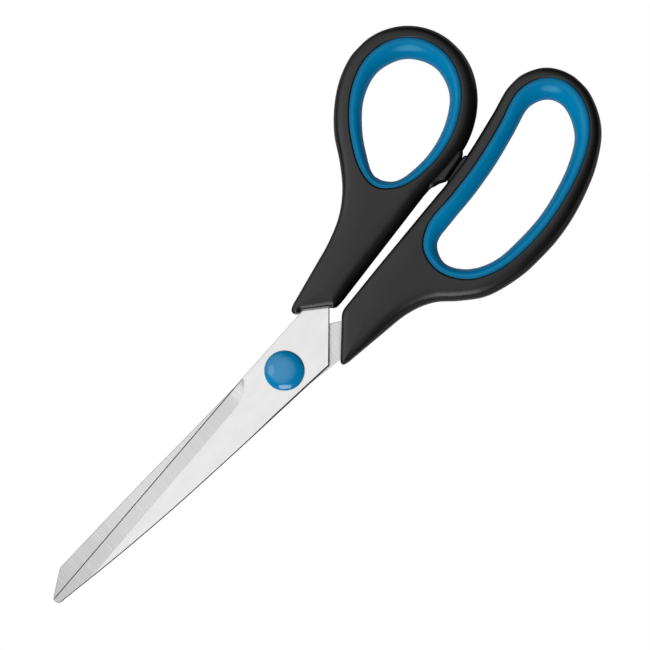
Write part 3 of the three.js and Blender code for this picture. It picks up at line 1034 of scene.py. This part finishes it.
def build_stage():
    """A pale floor, and a plain pale backdrop over it that is seen but lights nothing."""
    radius = 4.0
    sides = 96
    floor_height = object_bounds()[0].z - 0.0002
    angles = [2 * math.pi * k / sides for k in range(sides)]
    floor = [(radius * math.cos(a), radius * math.sin(a), floor_height - 0.0001) for a in angles]
    add_stage("floor", floor, [tuple(range(sides))], base=0.5, glow=0.0)
    rings = 24
    dome, faces = [], [tuple(range(sides))]
    for r in range(rings):
        lean = math.pi / 2 * r / rings
        dome += [(radius * math.cos(a) * math.cos(lean), radius * math.sin(a) * math.cos(lean),
                  floor_height + radius * math.sin(lean)) for a in angles]
    for r in range(rings - 1):
        for k in range(sides):
            j = (k + 1) % sides
            faces.append((r * sides + k, (r + 1) * sides + k, (r + 1) * sides + j, r * sides + j))
    faces.append(tuple((rings - 1) * sides + k for k in range(sides)))
    backdrop = add_stage("backdrop", dome, faces, base=0.0, glow=1.0)
    for kind in ("diffuse", "glossy", "transmission", "volume_scatter", "shadow"):
        setattr(backdrop, "visible_" + kind, False)


def towards(azimuth, zenith):
    """A direction from its azimuth, from +X towards +Y, and its angle from straight up."""
    turn, lean = math.radians(azimuth), math.radians(zenith)
    return Vector((math.cos(turn) * math.sin(lean), math.sin(turn) * math.sin(lean), math.cos(lean)))


def build_world():
    world = bpy.data.worlds.new("studio")
    bpy.context.scene.world = world
    world.use_nodes = True
    tree = world.node_tree
    place = tree.nodes.new("ShaderNodeTexCoord").outputs["Generated"]
    total = None
    for azimuth, zenith, inner, outer, strength in ROOM_GLOWS:
        dot = tree.nodes.new("ShaderNodeVectorMath")
        dot.operation = "DOT_PRODUCT"
        dot.inputs[1].default_value = towards(azimuth, zenith)
        tree.links.new(place, dot.inputs[0])
        fade = tree.nodes.new("ShaderNodeMapRange")
        fade.interpolation_type = "SMOOTHSTEP"
        fade.inputs["From Min"].default_value = math.cos(math.radians(outer))
        fade.inputs["From Max"].default_value = math.cos(math.radians(inner))
        fade.inputs["To Min"].default_value = ROOM_AMBIENT
        fade.inputs["To Max"].default_value = strength
        tree.links.new(dot.outputs["Value"], fade.inputs["Value"])
        if total is None:
            total = fade.outputs["Result"]
            continue
        brighter = tree.nodes.new("ShaderNodeMath")
        brighter.operation = "MAXIMUM"
        tree.links.new(total, brighter.inputs[0])
        tree.links.new(fade.outputs["Result"], brighter.inputs[1])
        total = brighter.outputs[0]
    tree.links.new(total, tree.nodes["Background"].inputs["Strength"])
    tree.nodes["Background"].inputs["Color"].default_value = (1, 1, 1, 1)


def add_softbox(name, direction, radius, radiance, glossy=True):
    """A round soft light. radius is the angle it spans from its centre, in degrees."""
    distance = 1.2
    light = bpy.data.lights.new(name, "AREA")
    light.shape = "DISK"
    half = distance * math.tan(math.radians(radius))
    light.size = 2 * half
    light.energy = radiance * math.pi * math.pi * half ** 2
    lamp = bpy.data.objects.new(name, light)
    bpy.context.scene.collection.objects.link(lamp)
    lamp.location = direction * distance
    lamp.rotation_euler = direction.to_track_quat("Z", "Y").to_euler()
    lamp.visible_glossy = glossy


def build_lights():
    add_softbox("key_soft", towards(-50, 52), radius=22, radiance=1.0, glossy=False)
    add_softbox("key_gloss", towards(-45, 34), radius=13, radiance=1.3)
    add_softbox("glint", towards(46, 51), radius=17, radiance=5.0)


def build_camera():
    camera = bpy.data.cameras.new("camera")
    camera.lens = 250.0
    camera.sensor_width = 36.0
    holder = bpy.data.objects.new("camera", camera)
    bpy.context.scene.collection.objects.link(holder)
    distance = SEEN_WIDTH * camera.lens / camera.sensor_width
    holder.location = (*SEEN_CENTRE, MATING * MM + distance)
    holder.rotation_euler = (0, 0, math.atan2(-PICTURE_UP.x, PICTURE_UP.y))
    bpy.context.scene.camera = holder


# ---- The scissors ----

def main():
    handle_look = black_plastic()
    grip_look = soft_grip()
    blade_look = blade_steel()
    rivet_look = rivet_steel()
    cap_look = cap_plastic()
    for half, blade, side in (("thumb", "front_blade", 1), ("finger", "rear_blade", -1)):
        body = half + "_half"
        build_handle(half + "_handle", blade, side, body, handle_look)
        build_grip(half + "_grip", body, grip_look)
        build_blade(blade, side, body, blade_look)
    build_rivet(rivet_look)
    build_washer(rivet_look)
    build_cap(cap_look)
    build_stage()
    build_world()
    build_lights()
    build_camera()
    bpy.context.scene.view_settings.view_transform = "Standard"


main()
